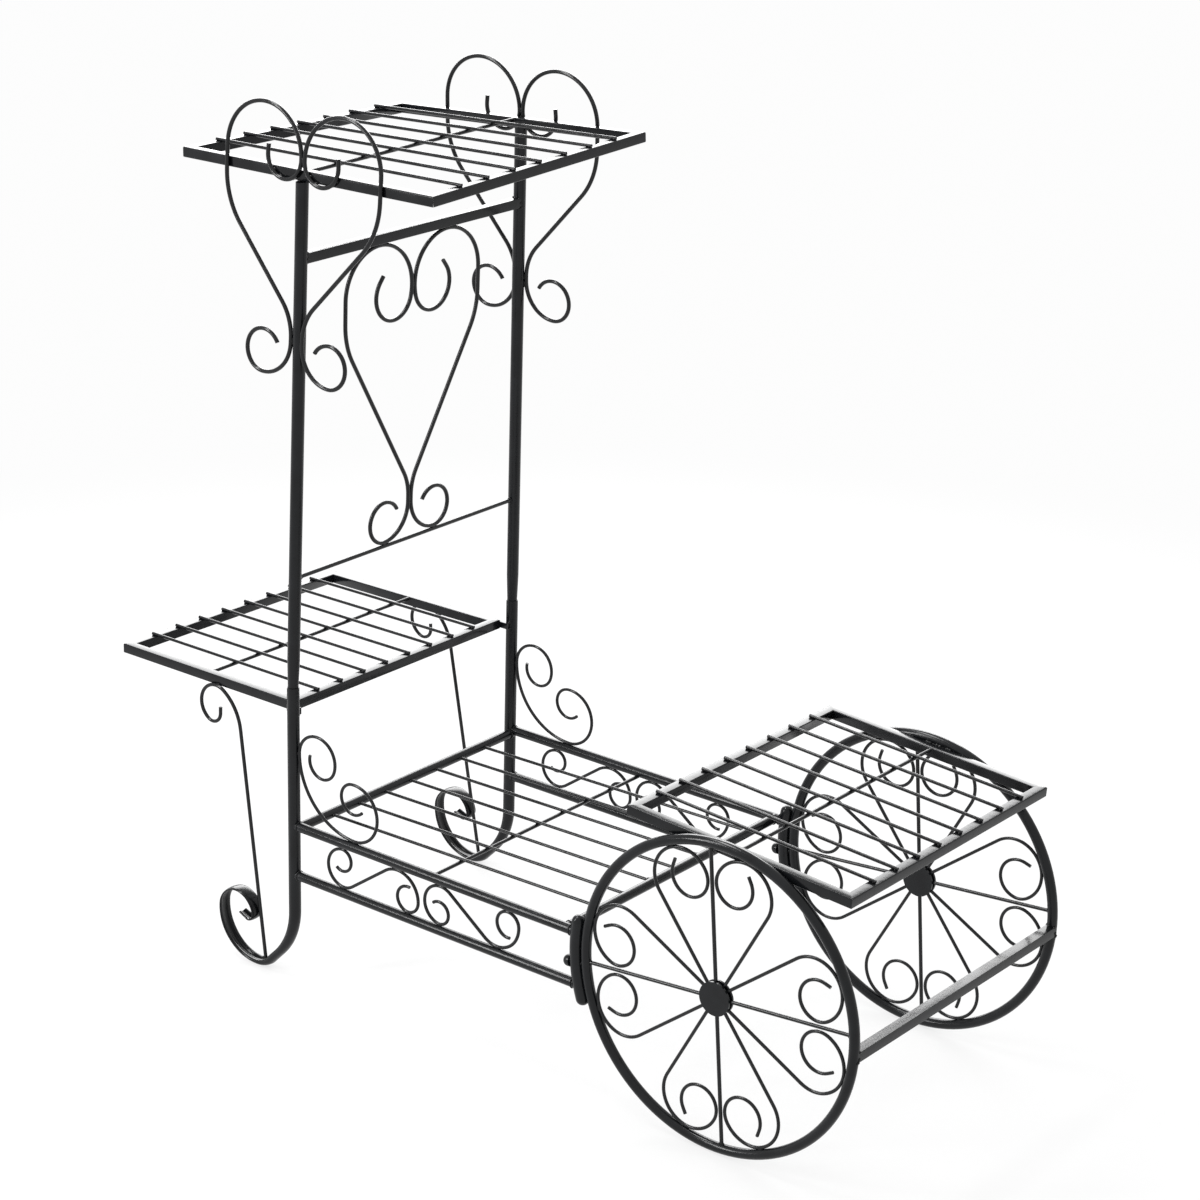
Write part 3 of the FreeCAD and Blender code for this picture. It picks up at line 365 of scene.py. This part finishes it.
def merged_islands(node):
    """The separate solids of a node as lists of points."""
    bm = bmesh.new()
    bm.from_mesh(nodes[node].data)
    bmesh.ops.remove_doubles(bm, verts=bm.verts, dist=MERGE)
    seen = set()
    groups = []
    for start in bm.verts:
        if start.index in seen:
            continue
        stack = [start]
        seen.add(start.index)
        found = []
        while stack:
            vertex = stack.pop()
            found.append(vertex.co.copy())
            for edge in vertex.link_edges:
                other = edge.other_vert(vertex)
                if other.index not in seen:
                    seen.add(other.index)
                    stack.append(other)
        groups.append(found)
    bm.free()
    return groups


def rod_axes(node):
    """The two ends of the axis of every straight rod or tube in a node."""
    axes = []
    for points in merged_islands(node):
        cloud = np.array(points)
        centre = cloud.mean(0)
        direction = np.linalg.svd(cloud - centre, full_matrices=False)[2][0]
        along = (cloud - centre) @ direction
        reach = along.max() - along.min()
        first = cloud[along < along.min() + END_SHARE * reach].mean(0)
        last = cloud[along > along.max() - END_SHARE * reach].mean(0)
        axes.append((Vector(first), Vector(last)))
    return axes


def tree_of(node):
    """A search tree of a node's surface."""
    mesh = nodes[node].data
    mesh.calc_loop_triangles()
    return BVHTree.FromPolygons([v.co for v in mesh.vertices],
                                [tuple(t.vertices) for t in mesh.loop_triangles])


def contacts(node, other, reach=0.5 * MM, apart=12 * MM):
    """Places where points of a node lie against another node, one for each cluster."""
    tree = tree_of(other)
    places = []
    for points in merged_islands(node):
        close = []
        for point in points:
            spot, normal, _, distance = tree.find_nearest(point, reach)
            if spot is not None:
                close.append((distance, spot, normal))
        close.sort(key=lambda item: item[0])
        kept = []
        for _, spot, normal in close:
            cluster = next((c for c in kept if (c[0] - spot).length < apart), None)
            if cluster is None:
                kept.append([spot, normal, [spot]])
            else:
                cluster[2].append(spot)
        for spot, normal, members in kept:
            centre = sum(members, Vector()) / len(members)
            places.append((centre, normal))
    return places


def lump(bm, centre, along, size, stretch):
    """One irregular drop of weld metal."""
    along = along.normalized() if along.length else Z_AXIS
    turn = along.to_track_quat("X", "Z").to_matrix().to_4x4()
    made = bmesh.ops.create_icosphere(bm, subdivisions=2, radius=1.0)
    shift = Vector([random.uniform(0, LUMP_SPREAD) for _ in range(3)])
    for vertex in made["verts"]:
        bulge = 1 + LUMP_BULGE * noise.noise(vertex.co * LUMP_NOISE + shift)
        scaled = Vector((vertex.co.x * size * stretch, vertex.co.y * size, vertex.co.z * size))
        vertex.co = centre + (turn @ (scaled * bulge))


def bead(bm, centre, along, size, stretch=1.5, drops=2):
    """A short weld: a few drops laid along the seam."""
    direction = along.normalized() if along.length else X_AXIS
    for k in range(drops):
        offset = (k - (drops - 1) / 2) * size * DROP_PITCH
        jitter = Vector([random.uniform(-DROP_JITTER, DROP_JITTER) * size for _ in range(3)])
        lump(bm, centre + direction * offset + jitter, direction,
             size * random.uniform(*BEAD_SPREAD), stretch)


def weld_piece(name, jobs):
    """One mesh of all the beads in a list of (centre, along, size)."""
    bm = bmesh.new()
    for centre, along, size in jobs:
        bead(bm, centre, along, size)
    add_piece(name, mesh_from(bm, name), WELD_PAINT)


def ring_weld(bm, centre, axis, radius, size, count):
    """A weld that runs right round a tube's end."""
    axis = axis.normalized()
    side = axis.orthogonal().normalized()
    for k in range(count):
        turn = Matrix.Rotation(2 * math.pi * k / count, 3, axis)
        out = turn @ side
        lump(bm, centre + out * radius, axis.cross(out), size * random.uniform(*RING_SPREAD),
             RING_STRETCH)


SLAT_WELD_INSET = 2.2 * MM
SLAT_WELD_DROP = 1.1 * MM
SLAT_SIZE = 1.5 * MM          # radii of the drops of each kind of weld
TUBE_SLAT_SIZE = 1.9 * MM
CROSSING_SIZE = 1.2 * MM
CROSS_END_SIZE = 1.8 * MM

for shelf in SHELVES:
    jobs = []
    cross_first, cross_last = rod_axes(f"{shelf}_cross_rod")[0]
    for first, last in rod_axes(f"{shelf}_slats"):
        direction = last - first
        inward = direction.normalized() * SLAT_WELD_INSET
        jobs.append((first + inward - Z_AXIS * SLAT_WELD_DROP, Y_AXIS, SLAT_SIZE))
        jobs.append((last - inward - Z_AXIS * SLAT_WELD_DROP, Y_AXIS, SLAT_SIZE))
        upper, lower = intersect_line_line(first, last, cross_first, cross_last)
        jobs.append(((upper + lower) / 2, direction, CROSSING_SIZE))
    for spot in (cross_first, cross_last):
        jobs.append((spot, X_AXIS, CROSS_END_SIZE))
    weld_piece(f"{shelf}_slat_welds", jobs)

jobs = []
cross_first, cross_last = rod_axes("bottom_shelf_cross_rod")[0]
for first, last in rod_axes("bottom_shelf_slats"):
    jobs.append((first, Y_AXIS, TUBE_SLAT_SIZE))
    jobs.append((last, Y_AXIS, TUBE_SLAT_SIZE))
    upper, lower = intersect_line_line(first, last, cross_first, cross_last)
    jobs.append(((upper + lower) / 2, last - first, CROSSING_SIZE))
weld_piece("bottom_shelf_slat_welds", jobs)

# node, what it is welded to, radius of the drops in millimetres; {0} is near or far
SIDE_WELDS = (
    ("corner_scroll_{0}", "lower_post_{0}", 1.7),
    ("corner_scroll_{0}", "upper_side_rail_{0}", 1.7),
    ("rear_wave_scroll_{0}", "upper_side_rail_{0}", 1.6),
    ("rear_wave_scroll_{0}", "lower_side_rail_{0}", 1.6),
    ("front_wave_scroll_{0}", "upper_side_rail_{0}", 1.6),
    ("front_wave_scroll_{0}", "lower_side_rail_{0}", 1.6),
    ("foot_brace_{0}", "middle_shelf_{0}_rail", 2.0),
    ("foot_brace_{0}", "lower_post_{0}", 2.0),
    ("side_heart_{0}_front", "upper_post_{0}", 2.2),
    ("side_heart_{0}_rear", "upper_post_{0}", 2.2),
    ("side_heart_{0}_front", "top_shelf_{0}_rail", 2.0),
    ("side_heart_{0}_rear", "top_shelf_{0}_rail", 2.0),
    ("side_heart_{0}_front", "side_heart_{0}_rear", 1.9),
)
WHEEL_WELDS = (
    ("wheel_scrolls_{0}", "wheel_rim_{0}", 1.7),
    ("wheel_scrolls_{0}", "wheel_spokes_{0}", 1.5),
    ("wheel_spokes_{0}", "wheel_rim_{0}", 1.9),
)
BACK_WELDS = (("back_heart_{0}", "back_lower_rod", 1.8), ("back_heart_{0}", "back_top_bar", 2.0))
BACK_MIDDLE_SIZE = 1.9 * MM


def seam_jobs(pairs, end):
    """Welds wherever the pairs touch, laid along the seam in the side view."""
    return [(centre, normal.cross(Y_AXIS), size * MM) for node, other, size in pairs
            for centre, normal in contacts(node.format(end), other.format(end))]


for end, _ in SIDES:
    weld_piece(f"side_welds_{end}", seam_jobs(SIDE_WELDS, end))

jobs = [(centre, Y_AXIS, size * MM) for end, _ in SIDES for node, other, size in BACK_WELDS
        for centre, _ in contacts(node.format(end), other)]
jobs += [(centre, Z_AXIS, BACK_MIDDLE_SIZE)
         for centre, _ in contacts("back_heart_near", "back_heart_far")]
weld_piece("back_welds", jobs)

for end, _ in SIDES:
    weld_piece(f"wheel_welds_{end}", seam_jobs(WHEEL_WELDS, end))

RAIL_WELD_RADIUS, ROD_WELD_RADIUS = 6.1 * MM, 2.7 * MM
RAIL_WELD_INSET, CROSS_WELD_INSET = 2 * MM, 1.5 * MM
REAR_RING_SIZE, FRONT_RING_SIZE, CROSS_RING_SIZE = 1.0 * MM, 1.1 * MM, 1.0 * MM
RAIL_RING_DROPS, CROSS_RING_DROPS = 18, 16

bm = bmesh.new()
for end, _ in SIDES:
    for level in ("upper", "lower"):
        first, last = rod_axes(f"{level}_side_rail_{end}")[0]
        if first.x > last.x:
            first, last = last, first
        ring_weld(bm, first + X_AXIS * RAIL_WELD_INSET, last - first, RAIL_WELD_RADIUS,
                  REAR_RING_SIZE, RAIL_RING_DROPS)
        ring_weld(bm, last - X_AXIS * RAIL_WELD_INSET, last - first, RAIL_WELD_RADIUS,
                  FRONT_RING_SIZE, RAIL_RING_DROPS)
for tube_node, radius in (("bottom_shelf_rear_tube", RAIL_WELD_RADIUS),
                          ("bottom_shelf_front_tube", RAIL_WELD_RADIUS),
                          ("back_lower_rod", ROD_WELD_RADIUS)):
    first, last = rod_axes(tube_node)[0]
    step = (last - first).normalized() * CROSS_WELD_INSET
    for spot in (first + step, last - step):
        ring_weld(bm, spot, last - first, radius, CROSS_RING_SIZE, CROSS_RING_DROPS)
add_piece("tube_end_welds", mesh_from(bm, "tube_end_welds"), WELD_PAINT)

CLOSE_DROPS, RIM_REACH, RIM_DROPS_APART = 5 * MM, 1.0 * MM, 14 * MM
BAR_END_SIZE, RIM_SHELF_SIZE, POST_TOP_SIZE = 1.7 * MM, 1.9 * MM, 1.8 * MM

bm = bmesh.new()
for node, other in (("back_top_bar", "upper_post_{0}"), ("front_crossbar", "wheel_rim_{0}"),
                    ("middle_shelf_lugs", "lower_post_{0}")):
    for end, _ in SIDES:
        for centre, normal in contacts(node, other.format(end), apart=CLOSE_DROPS):
            lump(bm, centre, normal.orthogonal(), BAR_END_SIZE, BAR_STRETCH)
for end, _ in SIDES:
    for centre, _ in contacts(f"wheel_rim_{end}", f"front_shelf_{end}_rail", reach=RIM_REACH,
                              apart=RIM_DROPS_APART):
        bead(bm, centre, X_AXIS, RIM_SHELF_SIZE, drops=3)
for end, _ in SIDES:
    for centre, _ in contacts(f"upper_post_{end}", f"top_shelf_{end}_rail", apart=CLOSE_DROPS):
        lump(bm, centre, X_AXIS, POST_TOP_SIZE, POST_STRETCH)
add_piece("frame_welds", mesh_from(bm, "frame_welds"), WELD_PAINT)


# ---------------------------------------------------------------- floor, light and camera

BACKGROUND = 0.98
AMBIENT = 0.62
FLOOR_NEAR, FLOOR_FAR = 0.9, 2.2    # the floor turns plain white between these distances
NEAR_WHITE = 0.78                   # share of plain white near the object
FLOOR_RADIUS = 30.0


def seen_directly(add):
    """A socket that is 1 for camera, glossy and transmission rays, else 0."""
    rays = add("ShaderNodeLightPath")
    seen = add("ShaderNodeMath", {0: rays.outputs["Is Camera Ray"],
                                  1: rays.outputs["Is Glossy Ray"]}, operation="MAXIMUM")
    seen = add("ShaderNodeMath", {0: seen.outputs["Value"],
                                  1: rays.outputs["Is Transmission Ray"]}, operation="MAXIMUM")
    return seen.outputs["Value"]


def floor_material():
    """White floor: it keeps the shadow near the object and is plain white further out."""
    material = bpy.data.materials.new("floor_white")
    material.use_nodes = True
    tree = material.node_tree
    tree.nodes.clear()
    add = node_setter(material)
    place = add("ShaderNodeTexCoord").outputs["Object"]
    distance = add("ShaderNodeVectorMath", {0: place}, operation="LENGTH")
    away = add("ShaderNodeMapRange", {"Value": distance.outputs["Value"],
                                      "From Min": FLOOR_NEAR, "From Max": FLOOR_FAR,
                                      "To Min": NEAR_WHITE, "To Max": 1.0},
               interpolation_type="SMOOTHSTEP")
    factor = add("ShaderNodeMath", {0: seen_directly(add), 1: away.outputs["Result"]},
                 operation="MULTIPLY")
    lit = add("ShaderNodeBsdfDiffuse", {"Color": (0.9, 0.9, 0.9, 1)})
    white = add("ShaderNodeEmission", {"Color": (1, 1, 1, 1), "Strength": BACKGROUND})
    mix = add("ShaderNodeMixShader", {0: factor.outputs["Value"], 1: lit.outputs["BSDF"],
                                      2: white.outputs["Emission"]})
    out = add("ShaderNodeOutputMaterial")
    tree.links.new(mix.outputs["Shader"], out.inputs["Surface"])
    return material


bm = bmesh.new()
bmesh.ops.create_circle(bm, cap_ends=True, segments=96, radius=FLOOR_RADIUS)
floor = bpy.data.objects.new("floor", mesh_from(bm, "floor", smooth=False))
floor.data.materials.append(floor_material())
bpy.context.scene.collection.objects.link(floor)

world = bpy.data.worlds.new("studio")
world.use_nodes = True
bpy.context.scene.world = world
add = node_setter(world)
level = add("ShaderNodeMapRange", {"Value": seen_directly(add), "To Min": AMBIENT,
                                   "To Max": BACKGROUND})
background = world.node_tree.nodes["Background"]
background.inputs["Color"].default_value = (1, 1, 1, 1)
world.node_tree.links.new(level.outputs["Result"], background.inputs["Strength"])

MIDDLE = Vector((0, 0, 0.45))
# name, azimuth, elevation, distance, width, height, radiance
LAMPS = (("back_light", 218, 21, 4.0, 3.6, 2.3, 7.0),
         ("top_light", 285, 66, 2.6, 1.3, 0.6, 16.0),
         ("left_light", 325, 25, 3.2, 0.4, 2.0, 20.0))


def softbox(name, place, width, height, radiance):
    """A rectangular lamp of a given radiance that faces the middle of the object."""
    data = bpy.data.lights.new(name, "AREA")
    data.shape = "RECTANGLE"
    data.size = width
    data.size_y = height
    data.energy = radiance * math.pi * width * height
    lamp = bpy.data.objects.new(name, data)
    lamp.location = place
    lamp.rotation_euler = (MIDDLE - place).to_track_quat("-Z", "Y").to_euler()
    bpy.context.scene.collection.objects.link(lamp)
    lamp.visible_camera = False


def around(azimuth, elevation, distance):
    """A place seen from the middle of the object; azimuth 0 is on the -Y side."""
    a, e = math.radians(azimuth), math.radians(elevation)
    return MIDDLE + distance * Vector((math.sin(a) * math.cos(e), -math.cos(a) * math.cos(e),
                                       math.sin(e)))


for name, azimuth, elevation, distance, width, height, radiance in LAMPS:
    softbox(name, around(azimuth, elevation, distance), width, height, radiance)

# The camera, from the shelf corners, posts and rims in the photograph.
AZIMUTH, ELEVATION, ROLL = math.radians(38.0), math.radians(20.3), math.radians(1.5)
DISTANCE = 3.6695
TARGET = Vector((0.0736, -0.0437, 0.5289))
SENSOR = 36.0
FOCAL_LENGTH, FRAME_WIDTH = 3235.4, 1200    # in pixels
back = Vector((math.sin(AZIMUTH) * math.cos(ELEVATION),
               -math.cos(AZIMUTH) * math.cos(ELEVATION), math.sin(ELEVATION)))
level_right = Z_AXIS.cross(back).normalized()
level_up = back.cross(level_right)
right = level_right * math.cos(ROLL) + level_up * math.sin(ROLL)
upward = level_up * math.cos(ROLL) - level_right * math.sin(ROLL)
camera = bpy.data.objects.new("camera", bpy.data.cameras.new("camera"))
camera.data.lens = SENSOR * FOCAL_LENGTH / FRAME_WIDTH
camera.data.sensor_width = SENSOR
camera.data.clip_end = 100
axes = Matrix((right, upward, back)).transposed().to_4x4()
camera.matrix_world = Matrix.Translation(TARGET + back * DISTANCE) @ axes
bpy.context.scene.collection.objects.link(camera)
bpy.context.scene.camera = camera
bpy.context.scene.view_settings.view_transform = "Standard"
